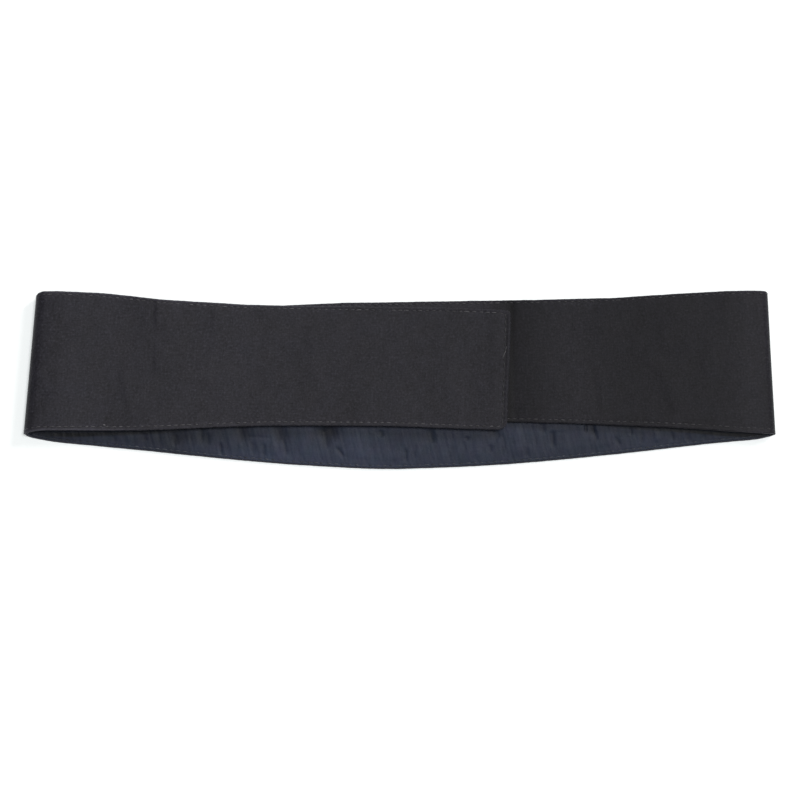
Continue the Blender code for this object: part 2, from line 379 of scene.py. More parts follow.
# Puckers and folds of the lining where it shows below the front, and similar
# ones further in, under the front.
LINING_PUCKERS = (
    # x0      y0     x1      y1    wide_left wide_right height
    (-128.0, -27.0, -127.5, -31.0, 0.8, 1.6, -0.20),
    (-120.8, -26.0, -120.6, -33.5, 1.0, 1.4, -0.11),
    (-113.2, -26.5, -112.6, -33.0, 1.2, 1.6, -0.26),
    (-104.4, -26.0, -103.6, -34.5, 1.4, 1.2, -0.08),
    (-96.3, -27.0, -95.9, -33.0, 1.0, 1.6, -0.20),
    (-89.9, -31.8, -89.5, -37.2, 0.55, 1.1, -0.34),
    (-84.5, -28.0, -84.0, -36.0, 1.2, 1.6, 0.06),
    (-112.6, -22.5, -110.0, -33.0, 3.2, 4.2, -0.20),
    (-100.0, -22.0, -98.4, -33.0, 2.0, 2.4, -0.26),
    (-91.0, -24.0, -90.0, -34.0, 2.2, 2.6, -0.06),
    (-80.6, -22.0, -78.0, -31.0, 3.0, 3.8, -0.38),
    (-76.0, -28.6, -64.0, -29.3, 0.6, 0.9, -0.12),
    (-61.4, -22.0, -59.0, -32.0, 3.2, 3.4, -0.40),
    (-45.0, -26.2, -29.0, -25.4, 3.4, 2.6, -0.36),
    (-35.4, -22.0, -33.4, -31.4, 3.0, 3.0, -0.26),
    (-46.0, -22.0, -50.0, -36.0, 4.0, 4.2, 0.16),
    (-24.0, -27.0, -23.0, -39.0, 5.0, 5.0, 0.10),
    (46.0, -24.0, 50.0, -29.6, 3.2, 2.4, -0.34),
    (94.6, -20.6, 96.4, -27.4, 2.0, 1.8, -0.30),
    (-73.8, -31.0, -73.4, -37.5, 0.9, 1.1, -0.16),
    (-67.0, -26.0, -67.6, -36.0, 3.8, 3.4, 0.08),
    (-68.3, -32.0, -68.0, -38.5, 0.8, 1.3, -0.22),
    (-63.5, -29.0, -63.0, -38.0, 1.4, 1.6, 0.16),
    (-58.2, -30.4, -56.8, -37.6, 0.7, 1.1, -0.26),
    (-46.5, -25.5, -47.5, -38.0, 3.4, 3.4, 0.05),
    (-38.6, -24.0, -36.4, -33.6, 1.6, 1.9, -0.30),
    (-31.4, -34.0, -27.9, -38.6, 0.9, 1.0, -0.26),
    (-20.5, -26.0, -20.0, -38.5, 4.2, 3.6, 0.10),
    (-9.4, -25.4, -9.0, -28.6, 1.5, 1.4, -0.26),
    (-2.5, -26.0, -2.6, -36.0, 2.4, 2.4, -0.08),
    (3.0, -34.8, 3.2, -41.0, 0.6, 1.0, -0.26),
    (10.0, -31.0, 9.4, -38.0, 1.6, 1.9, 0.12),
    (15.8, -24.6, 16.6, -31.6, 3.0, 1.4, -0.30),
    (26.0, -33.0, 25.4, -40.0, 1.2, 1.3, -0.13),
    (33.7, -28.6, 33.9, -30.4, 1.1, 1.0, -0.26),
    (38.5, -30.0, 39.0, -39.0, 1.8, 1.9, 0.12),
    (45.2, -32.6, 45.4, -36.2, 0.8, 1.1, -0.26),
    (52.0, -28.0, 51.0, -38.0, 1.5, 1.4, -0.12),
    (59.0, -24.0, 59.0, -37.0, 2.7, 2.6, 0.22),
    (63.2, -34.0, 63.5, -38.6, 0.7, 0.9, -0.20),
    (71.0, -21.8, 71.4, -26.6, 1.2, 2.2, -0.24),
    (73.6, -25.4, 84.0, -24.4, 0.9, 1.1, 0.09),
    (76.4, -25.6, 76.8, -33.6, 1.2, 1.3, -0.30),
    (83.0, -27.0, 83.0, -36.0, 2.0, 2.0, 0.14),
    (93.2, -22.2, 93.3, -26.2, 0.55, 0.6, -0.40),
    (96.9, -22.4, 97.2, -26.0, 0.8, 0.7, -0.26),
    (97.0, -25.2, 98.6, -30.0, 1.0, 1.3, -0.24),
    (104.0, -26.0, 104.4, -33.0, 1.4, 1.4, 0.14),
    (108.2, -28.6, 109.9, -32.8, 0.9, 0.9, -0.18),
    (115.6, -24.0, 115.9, -27.6, 0.7, 0.9, -0.24),
    (121.0, -26.0, 121.6, -32.0, 1.2, 1.0, -0.14),
    (128.6, -26.0, 129.0, -31.0, 1.5, 1.4, 0.12),
    (136.6, -26.6, 136.9, -30.6, 0.8, 1.2, -0.22),
    (144.0, -27.0, 144.6, -31.0, 0.9, 1.0, -0.13),
    (152.6, -27.5, 152.8, -30.6, 0.8, 1.0, -0.12),
    (-136.0, -27.0, -135.6, -31.0, 1.2, 1.6, 0.12),
    (-143.0, -28.0, -142.6, -31.6, 0.9, 1.1, -0.14),
    (-154.0, -27.5, -153.8, -30.5, 0.9, 1.2, -0.12),
    (-100.0, -4.0, -99.0, -18.0, 1.6, 2.2, -0.22),
    (-40.0, 8.0, -36.0, -12.0, 1.9, 2.4, -0.24),
    (20.0, 12.0, 24.0, -10.0, 2.2, 1.8, -0.22),
    (90.0, 6.0, 86.0, -14.0, 1.8, 2.0, -0.22),
    (140.0, 14.0, 142.0, -8.0, 1.6, 2.2, -0.20),
)


# ===================================================================== helpers
def along(table, at, column):
    """A column of a table at many places, by a smooth curve through its rows."""
    rows = np.array(table, float)
    xs, ys = rows[:, 0], rows[:, column]
    lo = np.maximum(np.arange(len(xs)) - 1, 0)
    hi = np.minimum(np.arange(len(xs)) + 1, len(xs) - 1)
    slope = (ys[hi] - ys[lo]) / (xs[hi] - xs[lo])
    at = np.clip(at, xs[0], xs[-1])
    k = np.clip(np.searchsorted(xs, at, "right") - 1, 0, len(xs) - 2)
    span = xs[k + 1] - xs[k]
    t = (at - xs[k]) / span
    return (
        (2 * t**3 - 3 * t**2 + 1) * ys[k]
        + (t**3 - 2 * t**2 + t) * span * slope[k]
        + (3 * t**2 - 2 * t**3) * ys[k + 1]
        + (t**3 - t**2) * span * slope[k + 1]
    )


def ease(t):
    t = np.clip(t, 0.0, 1.0)
    return t * t * (3 - 2 * t)


def fold_x(side, y):
    (y0, left0, right0), (y1, left1, right1) = FOLD_LINES
    a, b = (left0, left1) if side == "left" else (right0, right1)
    return a + (b - a) * (y0 - y) / (y0 - y1)


def end_x(pair, y):
    return pair[0] + (pair[1] - pair[0]) * (END_Y[0] - y) / (END_Y[0] - END_Y[1])


def corner(from_end, radius):
    inside = np.clip(from_end, 0.0, radius)
    return radius - np.sqrt(np.maximum(radius**2 - (radius - inside) ** 2, 0.0))


def noise_line(at, seed, longest, shortest, count=7):
    """A smooth uneven line through zero: sines of unlike lengths and phases."""
    rng = np.random.default_rng(seed)
    total = np.zeros_like(np.asarray(at, float))
    for k in range(count):
        length = longest * (shortest / longest) ** (k / (count - 1))
        length *= rng.uniform(0.86, 1.16)
        total += np.sin(2 * np.pi * (at / length + rng.uniform())) * rng.uniform(0.5, 1.0)
    return total / math.sqrt(count)


# ==================================================================== stations
class Strip:
    """The strip's sections, one after another from the overlap's end to the
    underlap's. A section knows where its outer face is, how far in from a side
    fold and how high, which way it faces, and the cut's two edges there."""

    def __init__(self, steps, inset=0.0):
        rows = []  # stretch, side, inward, z, out_in, out_z, upper share, low, high, from_end
        self.inset = inset

        def upper(name, places):
            over = name == "overlap"
            cut, side, length = (
                (OVERLAP_CUT, "left", OVERLAP_L) if over else (UNDERLAP_CUT, "right", UNDERLAP_L)
            )
            top, rest, start, run = (
                (2 * LEFT_R, LAPPED_Z, LEFT_HOLD, LEFT_FALL)
                if over
                else (2 * RIGHT_R, SINGLE_Z, RIGHT_HOLD, RIGHT_FALL)
            )

            def level(a):
                return top + (rest - top) * ease((a - start) / run)

            rise = (level(places + 0.05) - level(places - 0.05)) / 0.1
            n = np.hypot(rise, 1.0)
            from_end = length - inset - places
            low = along(cut, places, 1) + inset + corner(from_end, LOW_CORNER_R - inset)
            high = along(cut, places, 2) - inset - corner(from_end, TOP_CORNER_R - inset / 2)
            for j, a in enumerate(places):
                rows.append(
                    (name, side, a, float(level(a)), -rise[j] / n[j], 1 / n[j], 1.0,
                     low[j], high[j], from_end[j])
                )

        def turn(side, angles):
            r = LEFT_R if side == "left" else RIGHT_R
            up = OVERLAP_CUT if side == "left" else UNDERLAP_CUT
            for angle in angles:
                c, s = math.cos(math.radians(angle)), math.sin(math.radians(angle))
                a = r * (1 - c)
                if angle > 0:
                    low, high = along(up, a, 1), along(up, a, 2)
                else:
                    at = a if side == "left" else BACK_L - a
                    low, high = along(BACK_CUT, at, 1), along(BACK_CUT, at, 2)
                rows.append(
                    (side + "_fold", side, a, r + r * s, -c, s,
                     float(ease((angle + 60) / 120)), low + inset, high - inset, 1e3)
                )

        def toward_end(length, start, step):
            """Places from start to the strip's end, closer where the rim turns."""
            rim = np.array([4.2, 3.5, 2.9, 2.3, 1.8, 1.4, 1.05, 0.75, 0.5, 0.32, 0.16, 0.045, 0.0])
            last = length - inset - rim
            n = max(1, int(round((last[0] - start) / step)))
            return np.concatenate([np.linspace(start, last[0], n + 1)[:-1], last])

        upper("overlap", toward_end(OVERLAP_L, LEFT_R, steps["overlap"])[::-1])
        turn("left", np.linspace(90, -90, steps["turn"] + 1)[1:-1])
        n = int(round((BACK_L - LEFT_R - RIGHT_R) / steps["back"]))
        places = np.linspace(LEFT_R, BACK_L - RIGHT_R, n + 1)
        low, high = along(BACK_CUT, places, 1) + inset, along(BACK_CUT, places, 2) - inset
        for j, a in enumerate(places):
            rows.append(("back", "left", a, 0.0, 0.0, -1.0, 0.0, low[j], high[j], 1e3))
        turn("right", np.linspace(-90, 90, steps["turn"] + 1)[1:-1])
        upper("underlap", toward_end(UNDERLAP_L, RIGHT_R, steps["underlap"]))

        self.stretch = np.array([r[0] for r in rows])
        self.left = np.array([r[1] == "left" for r in rows])
        (self.inward, self.z, self.out_in, self.out_z, self.share,
         self.low, self.high, self.from_end) = (
            np.array([r[k] for r in rows], float) for k in range(2, 10)
        )
        self.low -= GROW_LOW
        hang = np.where(
            self.left, along(LOW_HANG["overlap"], self.inward, 1), along(LOW_HANG["underlap"], self.inward, 1)
        )
        self.low -= self.share * hang
        near_fold = self.share * ease((95.0 - self.inward) / 40.0)
        self.high += GROW_HIGH * (1 - 0.9 * near_fold)
        self.pull = np.where(self.stretch == "overlap", np.exp(-self.from_end / 6.0), 0.0)
        mid = self.point(np.arange(len(rows)), np.full(len(rows), 6.0), 0.0)
        self.run = np.concatenate([[0.0], np.cumsum(np.linalg.norm(np.diff(mid, axis=0), axis=1))])
        self.count = len(rows)

    def point(self, j, y, depth, lift=0.0):
        """The point of section j at height y, depth mm below its outer face,
        moved out of the ring by lift."""
        i = self.inward[j] - (depth - lift) * self.out_in[j]
        z = self.z[j] - (depth - lift) * self.out_z[j]
        left, right = fold_x("left", y), fold_x("right", y)
        over = (end_x(OVERLAP_END_X, y) - left) / OVERLAP_L
        under = (end_x(UNDERLAP_END_X, y) - right) / UNDERLAP_L
        level = (right - left) / BACK_L
        w = self.share[j]
        x = np.where(
            self.left[j],
            left + i * (w * over + (1 - w) * level),
            right + i * (w * under - (1 - w) * level),
        )
        grow = np.where(self.left[j], -GROW_LEFT, GROW_RIGHT + 0.16 * ease((y - 8.0) / 32.0))
        x = x + grow * np.maximum(-self.out_in[j], 0.0)
        x = x + self.pull[j] * along(END_WANDER, y, 1)
        return np.stack([x, y + 0 * x, z + 0 * x], axis=-1)


def soft_segments(table, x, y):
    """The summed height of a table's ridges and troughs at points x, y."""
    total = np.zeros_like(x)
    for x0, y0, x1, y1, wide_left, wide_right, height in table:
        dx, dy = x1 - x0, y1 - y0
        length = math.hypot(dx, dy)
        ux, uy = dx / length, dy / length
        px, py = x - x0, y - y0
        t = px * ux + py * uy
        across = px * uy - py * ux  # to either side of the line
        if uy < 0:
            across = -across  # positive towards +X
        wide = np.where(across < 0, wide_left, wide_right)
        taper = min(0.45 * length, 2.4 * max(wide_left, wide_right) + 1.0)
        ends = ease((t + 0.4 * taper) / taper) * ease((length - t + 0.4 * taper) / taper)
        total += height * np.exp(-((across / wide) ** 2)) * ends
    return total


# ======================================================================== shells
def spaced_rows(rim, inner, low_side, high_side, middle):
    """Places across the strip, as pairs (share of the width, mm to add): the
    rim's and the inner ones from the lower edge, some in the middle and the
    same again to the upper edge."""
    rows = [(0.0, t) for t in rim + inner + low_side]
    a, b = rows[-1][1], (rim + inner + high_side)[-1]
    rows += [(k / (middle + 1), a * (1 - k / (middle + 1)) - b * k / (middle + 1)) for k in range(1, middle + 1)]
    rows += [(1.0, -t) for t in (rim + inner + high_side)[::-1]]
    return rows


def rim_places(radius):
    return [radius * (1 - math.cos(math.radians(a))) for a in (24, 47, 69, 90)]


def grid_shell(name, strip, outer_rows, inner_rows, surface, attributes):
    """A closed shell: an outer and an inner face that share their rims.
    surface(j, y, t, outer) gives points for section numbers j."""
    n = strip.count
    js = np.arange(n)

    def face(rows, outer):
        out = []
        for share, add in rows:
            y = strip.low + (strip.high - strip.low) * share + add
            t = np.minimum(y - strip.low, strip.high - y)
            out.append(surface(js, y, np.minimum(t, strip.from_end), outer))
        return out

    edge_low = surface(js, strip.low, np.zeros(n), True)
    edge_high = surface(js, strip.high, np.zeros(n), True)
    columns = [edge_low] + face(outer_rows, True) + [edge_high] + face(inner_rows, False)[::-1]
    points = np.stack([c["co"] for c in columns], axis=1)  # section, column, xyz
    m = points.shape[1]
    index = np.arange(n * m).reshape(n, m)
    a = index[:-1, :]
    b = index[1:, :]
    quads = np.stack(
        [a, np.roll(a, -1, axis=1), np.roll(b, -1, axis=1), b], axis=-1
    ).reshape(-1, 4)
    faces = quads.tolist()
    # the strip's two ends, where both faces have come together at the rim
    k_out = 1 + len(outer_rows)  # column of the upper edge
    for j, flip in ((0, False), (n - 1, True)):
        outer_side = list(range(0, k_out + 1))
        inner_side = [0] + list(range(m - 1, k_out - 1, -1))
        a = b = 0
        while a < len(outer_side) - 1 or b < len(inner_side) - 1:
            here, there = outer_side[a], inner_side[b]
            up = points[j, outer_side[min(a + 1, len(outer_side) - 1)], 1]
            down = points[j, inner_side[min(b + 1, len(inner_side) - 1)], 1]
            if b == len(inner_side) - 1 or (a < len(outer_side) - 1 and up <= down):
                a += 1
                corners = (here, outer_side[a], there)
            else:
                b += 1
                corners = (here, inner_side[b], there)
            if len(set(corners)) == 3:
                corners = [int(index[j, k]) for k in corners]
                faces.append(corners if flip else corners[::-1])
    mesh = bpy.data.meshes.new(name)
    mesh.from_pydata((points.reshape(-1, 3) * MM).tolist(), [], faces)
    mesh.validate()
    mesh.update()
    for key in attributes:
        values = np.stack([c[key] for c in columns], axis=1)
        if values.ndim == 2:
            layer = mesh.attributes.new(key, "FLOAT", "POINT")
            layer.data.foreach_set("value", values.reshape(-1).astype(np.float32))
        else:
            layer = mesh.attributes.new(key, "FLOAT_VECTOR", "POINT")
            layer.data.foreach_set("vector", values.reshape(-1).astype(np.float32))
    mesh.shade_smooth()
    made = bpy.data.objects.new(name, mesh)
    bpy.context.scene.collection.objects.link(made)
    return made


def stitch_in(strip, j, upper_edge):
    """How far inside its edge the topstitching runs at section j."""
    k = 1 if upper_edge else 0
    back, over, under = (STITCH_IN[name][k] for name in ("back", "overlap", "underlap"))
    # the folds pass smoothly from the back's line to the upper stretch's
    w = strip.share[j]
    up = np.where(strip.left[j], over, under)
    if not np.any(upper_edge):
        drift = np.where(
            strip.left[j],
            DRIFT_IN["overlap"] * ease((strip.inward[j] - 90.0) / 150.0),
            DRIFT_IN["underlap"] * ease((strip.inward[j] - 10.0) / 110.0),
        )
        up = up + drift
    return w * up + (1 - w) * back


def hole_phase(run):
    """1 at the needle holes between stitches, 0 at the middle of a stitch."""
    return 0.5 + 0.5 * np.cos(2 * np.pi * run / PITCH)


def front_lift(strip, j, y):
    """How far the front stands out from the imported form: its settled height
    and its creases, the same for the cloth and the lining behind it."""
    x = strip.point(j, y, 0.0)[..., 0]
    name = strip.stretch[j]
    inward = strip.inward[j]
    over = (name == "overlap") | (name == "left_fold")
    # under the overlap the underlap follows it
    above = along(OVERLAP_LEVEL, x + 184.7, 1) - PANEL_T - GAP
    lapped = ease((inward - 129.0) / 6.0)
    under = along(UNDERLAP_LEVEL, inward, 1) * (1 - lapped) + above * lapped
    top = np.where(over, along(OVERLAP_LEVEL, inward, 1), under)
    level = np.where(name == "left_fold", 2 * LEFT_R, np.where(name == "right_fold", 2 * RIGHT_R, strip.z[j]))
    weight = np.where(name == "back", 0.0, np.maximum(strip.out_z[j], 0.0) ** 2)
    flat = (name == "overlap") | (name == "underlap")
    creased = np.where(flat, ease((strip.inward[j] - 3.0) / 12.0), 0.0)
    return weight * (top - level) + creased * soft_segments(FRONT_CREASES, x, y)


def pinch(strip, j, y, t, run, strength):
    """The groove that a line of topstitching pulls into a face."""
    upper_edge = y - strip.low[j] > strip.high[j] - y
    line = np.where(upper_edge, stitch_in(strip, j, True), stitch_in(strip, j, False))
    line = line - strip.inset
    end = END_STITCH_IN - strip.inset
    near = np.exp(-(((t - line) / 0.34) ** 2))
    # along the rounded end the line runs further in
    at_end = strip.from_end[j] < 6.0
    end_line = np.exp(-(((strip.from_end[j] - end) / 0.36) ** 2))
    near = np.where(at_end, np.maximum(near * ease((strip.from_end[j] - end + 0.5) / 0.6), end_line), near)
    uneven = 0.82 + 0.25 * noise_line(run + np.where(upper_edge, 0.0, 500.0), 11, 60, 5)
    return strength * near * (0.55 + 0.45 * hole_phase(run)) * uneven


def outer_surface(strip):
    def surface(j, y, t, outer):
        run = strip.run[j]
        half = CLOTH_R * np.sqrt(np.maximum(1 - (1 - np.minimum(t / CLOTH_R, 1.0)) ** 2, 0.0))
        back = strip.stretch[j] == "back"
        groove = pinch(strip, j, y, t, run, np.where(back, 0.17, 0.07))
        # the old needle marks beside the end's stitching: a groove, with painted shade darkening the cloth in it
        marks = np.where(
            strip.stretch[j] == "overlap",
            np.exp(-(((strip.from_end[j] - NEEDLE_LINE_IN) / 0.40) ** 2))
            * (0.60 + 0.40 * np.cos(2 * np.pi * (y - 1.1) / 2.9))
            * ease((np.minimum(y - strip.low[j], strip.high[j] - y) - 1.2) / 1.5),
            0.0,
        )
        groove = groove + 0.10 * marks
        # the turned-in edge is a little thicker up to the seam allowance's end
        plump = 0.05 * np.exp(-(((t - 0.75) / 0.5) ** 2))
        if outer:
            depth = CLOTH_R - half + (groove - plump) * (half / CLOTH_R)
        else:
            depth = CLOTH_R + half
        # cut edges are never dead straight
        upper_edge = y - strip.low[j] > strip.high[j] - y
        wander = np.where(
            upper_edge,
            0.07 * noise_line(run, 21, 90, 8) - 0.05 * hole_phase(run),
            -0.07 * noise_line(run, 22, 90, 8) + 0.05 * hole_phase(run),
        ) * np.exp(-np.minimum(t, 30.0) / 3.0)
        lift = front_lift(strip, j, y)
        p = strip.point(j, y + wander, depth, lift)
        # the face on the surface stays flat on it
        p[..., 2] = np.maximum(p[..., 2], 0.0)
        # painted highlight: the turned edges are lightened where they catch the light, more so below, along the left
        # fold's side
        over = (strip.stretch[j] == "overlap") | (strip.stretch[j] == "left_fold")
        below = np.where(
            over,
            0.4 + 2.1 * ease((64.0 - strip.inward[j]) / 22.0),
            np.where(back, 3.4, 0.5 + 1.6 * ease((24.0 - strip.inward[j]) / 12.0)),
        )
        lapped = 0.75 * ease((strip.inward[j] - 132.0) / 8.0)
        above = np.where(over, 1.0 - 0.85 * ease((strip.inward[j] - 120.0) / 40.0), 1.0 - lapped)
        rim = np.where(
            upper_edge | ~over,
            np.exp(-((t / np.where(upper_edge | back, 0.75, 0.5)) ** 2)),
            np.exp(-(((t - 0.50) / 0.36) ** 2)),
        ) * np.where(upper_edge, above, below)
        at_end = strip.from_end[j] < 1.7
        rim = np.where(at_end, 0.20 * np.exp(-(((t - 0.95) / 0.40) ** 2)), rim)
        # painted highlight: a lighter band just inside the edges, where the puffed cloth catches the light
        edge_highlight = np.where(
            upper_edge,
            np.where(over, 0.26 - 0.20 * ease((strip.inward[j] - 120.0) / 40.0), 0.13 * (1 - lapped))
            * np.exp(-((t / 2.3) ** 2)),
            np.where(over, 0.15, 0.04) * np.exp(-(((t - 1.9) / 1.2) ** 2)),
        )
        # painted shade darkens the end's rim and the right fold's outermost rim against the light that falls on them,
        # and a painted highlight lightens a band just inside the right fold
        end_shade = 0.14 * np.exp(-(((strip.from_end[j] - 0.5) / 0.8) ** 2))
        fold_highlight_and_shade = np.where(
            strip.left[j] | back,
            1.0,
            (1 + 0.14 * np.exp(-(((strip.inward[j] - 1.9) / 1.0) ** 2)))
            * (1 - 0.30 * np.exp(-((strip.inward[j] / 0.5) ** 2))),
        )
        # the painted shadow on the underlap beside the overlap follows the overlap's slanting end
        slant = end_x(OVERLAP_END_X, y) - end_x(OVERLAP_END_X, 20.0)
        beside = p[..., 0] - slant * np.exp(-(((p[..., 0] - 57.0) / 14.0) ** 2))
        return {
            "co": p,
            "cloth": np.stack([run * MM, y * MM, 0 * run], axis=-1),
            # tone: the painted shading along X, painted shade in the needle marks, the painted edge highlight, and the
            # painted shade and highlight at the end and the right fold
            "tone": np.where(
                back, 0.97,
                np.where(over, along(CLOTH_PAINTED_SHADING, p[..., 0], 1), along(CLOTH_PAINTED_SHADING, beside, 2)),
            ) * (1 - 0.82 * marks) * (1 + edge_highlight) * (1 - end_shade) * fold_highlight_and_shade,
            "rim": rim,
        }

    return surface


def lining_surface(strip):
    def surface(j, y, t, outer):
        run = strip.run[j]
        half = LINING_R * np.sqrt(np.maximum(1 - (1 - np.minimum(t / LINING_R, 1.0)) ** 2, 0.0))
        middle = LINING_DEPTH + LINING_R
        groove = pinch(strip, j, y, t, run, 0.07)
        p0 = strip.point(j, y, 0.0)
        back = strip.stretch[j] == "back"
        inside = np.minimum(t, 25.0)
        if outer:
            depth = middle - half
            marks = 0.0 * p0[..., 0]
        else:
            # the lining is looser than the cloth, so it puffs and puckers
            puff = 0.10 * ease((t - 1.2) / 5.0)
            fine = 0.035 * noise_line(p0[..., 0] + 0.25 * y, 31, 9, 1.7, 9) * ease((t - 0.9) / 2.0)
            tug = 0.03 * (0.5 - hole_phase(run)) * np.exp(-(((t - 1.6) / 1.3) ** 2))
            slow = 0.06 * noise_line(p0[..., 0] - 0.6 * y, 32, 46, 12, 6) * ease((t - 1.5) / 4.0)
            marks = soft_segments(LINING_PUCKERS, p0[..., 0], p0[..., 1]) * ease((t - 0.25) / 1.2)
            crumple = np.where(back, marks, 0.0) + fine + tug + slow
            depth = middle + half - groove * (half / LINING_R) + (puff + crumple) * ease(t / 0.8)
            depth = np.where(back, depth, np.minimum(depth, PANEL_T - 0.02))
            # under the front it stays clear of the layer that lies on it
            covered = back & (y > strip_front_low(p0[..., 0]) - 0.5)
            depth = np.where(covered, np.minimum(depth, PANEL_T), depth)
        lift = front_lift(strip, j, y)
        p = strip.point(j, y, depth, lift)
        x = p[..., 0]
        shade = along(LINING_SHADE, x, 3) * np.exp(
            -(((p[..., 1] - along(LINING_SHADE, x, 1)) / along(LINING_SHADE, x, 2)) ** 4)
        )
        low_edge_tone = along(LINING_LOW_EDGE_TONE, x, 1) * (1 - ease((t - 3.0) / 4.5))
        low_edge_tone = np.where(back & (p[..., 1] < 0), low_edge_tone, 0.0)
        return {
            "co": p,
            "cloth": np.stack([run * MM, y * MM, 0 * run], axis=-1),
            # painted shading: the bands along X, painted shade at the bottoms of the lining's folds and a painted
            # highlight on its ridges, and the painted shade in the mouths; the lower edge's band is paler or darker as
            # listed
            "tone": along(LINING_PAINTED_SHADING, p[..., 0], 1)
            * (1 + np.where(back, np.where(marks < 0, 1.0, 0.6), 0.0) * np.clip(marks, -0.72, 0.35))
            * (1 - np.where(back, shade, 0.0))
            * (1 + low_edge_tone),
        }

    return surface


def strip_front_low(x):
    """The front's lower edge over X, roughly: what lies behind it is covered."""
    left = along(OVERLAP_CUT, x + 187.0, 1)
    right = along(UNDERLAP_CUT, 187.0 - x, 1)
    return np.where(x < 55.0, np.minimum(left, right), right)


# ======================================================================= threads
def stitches(name, strip, face, rng_seed):
    """Every stitch of one face's topstitching, as one joined mesh. A stitch is
    a short thread that comes up at one needle hole and goes down at the next."""
    rng = np.random.default_rng(rng_seed)
    rings, sides = 7, 6
    total = strip.run[-1]
    numbers = np.arange(strip.count)
    profile = np.sin(np.linspace(0.0, np.pi, rings)) ** 0.55  # up, over, down
    steps = np.linspace(0.0, 1.0, rings)

    def on_face(u, y, raise_by):
        """Points on the face at places u along the strip and heights y."""
        at = np.interp(u, strip.run, numbers)
        first = np.clip(np.floor(at).astype(int), 0, strip.count - 2)
        part = (at - first)[..., None]
        depth = -raise_by if face == "cloth" else LINING_DEPTH + 2 * LINING_R + raise_by
        a = strip.point(first, y, depth, front_lift(strip, first, y))
        b = strip.point(first + 1, y, depth, front_lift(strip, first + 1, y))
        return a * (1 - part) + b * part

    lines, tones = [], []
    for upper_edge in (False, True):
        k = np.arange(int(total / PITCH) + 1)
        start = (k + 0.12) * PITCH + rng.normal(0, 0.09, len(k))
        length = PITCH * rng.normal(0.62, 0.10, len(k))
        lean = rng.normal(0.10, 0.10, len(k)) * (1 if upper_edge else -1)
        sink = rng.normal(-0.04, 0.055, len(k))
        tone = np.clip(rng.normal(0.94, 0.19, len(k)), 0.5, 1.5)
        keep = (start > 2.4) & (start + length < total - 2.4)
        start, length, lean, sink = (v[keep][:, None] for v in (start, length, lean, sink))
        u = start + length * steps
        near = np.clip(np.round(np.interp(u, strip.run, numbers)).astype(int), 0, strip.count - 1)
        inside = stitch_in(strip, near, upper_edge) - strip.inset + lean * (steps - 0.5)
        low, high = (np.interp(u, strip.run, v) for v in (strip.low, strip.high))
        y = high - inside if upper_edge else low + inside
        lines.append(on_face(u, y, -0.30 + 0.36 * profile + sink))
        under = (strip.stretch[near[:, 3]] == "underlap") | (strip.stretch[near[:, 3]] == "right_fold")
        lapped = strip.inward[near[:, 3]] > 135.0  # the strip that shows above the overlap
        tone = tone[keep] * np.where(under, np.where(lapped, 0.9, 0.66), 1.0 if upper_edge else 1.08)
        if face == "lining":
            # painted shade: fainter towards the left fold, where the lining lies in the front's shadow
            tone = tone * (1 - 0.42 * ease((-122.0 - lines[-1][:, 3, 0]) / 30.0))
        tones.append(tone)
    if face == "cloth":
        for x0, y0, x1, y1, tone in LOOSE_STITCHES:
            x, y = x0 + (x1 - x0) * steps, y0 + (y1 - y0) * steps
            at = np.interp(x, strip.point(numbers[:340], y0, 0.0)[::-1, 0], strip.run[:340][::-1])
            lines.append(on_face(at[None, :], y[None, :], -0.22 + 0.36 * profile[None, :]))
            tones.append(np.array([tone]))
    mark = END_STITCH_IN - strip.inset
    for u0 in (mark, total - mark):
        low, high = (np.interp(u0, strip.run, v) for v in (strip.low, strip.high))
        count = int((high - low - 2.8) / PITCH)
        step = (high - low - 2.8) / count
        k = np.arange(count)
        y = (low + 1.5 + step * (k + 0.12))[:, None] + step * rng.normal(0.76, 0.05, (count, 1)) * steps
        u = u0 + rng.normal(0.10, 0.09, (count, 1)) * (steps - 0.5)
        lines.append(on_face(u, y, -0.30 + 0.36 * profile + rng.normal(-0.02, 0.05, (count, 1))))
        tones.append(np.clip(rng.normal(0.46, 0.10, count), 0.3, 0.8))  # almost as dark as the cloth

    points = np.concatenate(lines)  # stitch, ring, xyz
    tone = np.concatenate(tones)
    n = len(points)
    tangent = np.gradient(points, axis=1)
    tangent /= np.linalg.norm(tangent, axis=-1, keepdims=True)
    side = np.cross(tangent, np.array([0.0, 0.31, 0.95]))
    side /= np.linalg.norm(side, axis=-1, keepdims=True)
    over = np.cross(side, tangent)
    radius = (THREAD_R * (0.80 + 0.20 * np.sin(np.pi * steps)))[None, :, None, None]
    turn = 2 * np.pi * np.arange(sides) / sides
    verts = points[:, :, None, :] + radius * (
        1.08 * np.cos(turn)[None, None, :, None] * side[:, :, None, :]
        + 0.92 * np.sin(turn)[None, None, :, None] * over[:, :, None, :]
    )
    # a thread pressed between the cloth and the surface lies flat in its groove
    verts[..., 2] = np.maximum(verts[..., 2], 0.0)
    index = np.arange(n * rings * sides).reshape(n, rings, sides)
    a, b = index[:, :-1, :], index[:, 1:, :]
    quads = np.stack([a, b, np.roll(b, -1, axis=2), np.roll(a, -1, axis=2)], axis=-1).reshape(-1, 4)
    faces = quads.tolist()
    faces += index[:, 0, :].tolist()
    faces += index[:, -1, ::-1].tolist()
    mesh = bpy.data.meshes.new(name)
    mesh.from_pydata((verts.reshape(-1, 3) * MM).tolist(), [], faces)
    mesh.validate()
    mesh.update()
    layer = mesh.attributes.new("tone", "FLOAT", "POINT")
    layer.data.foreach_set("value", np.repeat(tone, rings * sides).astype(np.float32))
    mesh.shade_smooth()
    made = bpy.data.objects.new(name, mesh)
    bpy.context.scene.collection.objects.link(made)
    return made


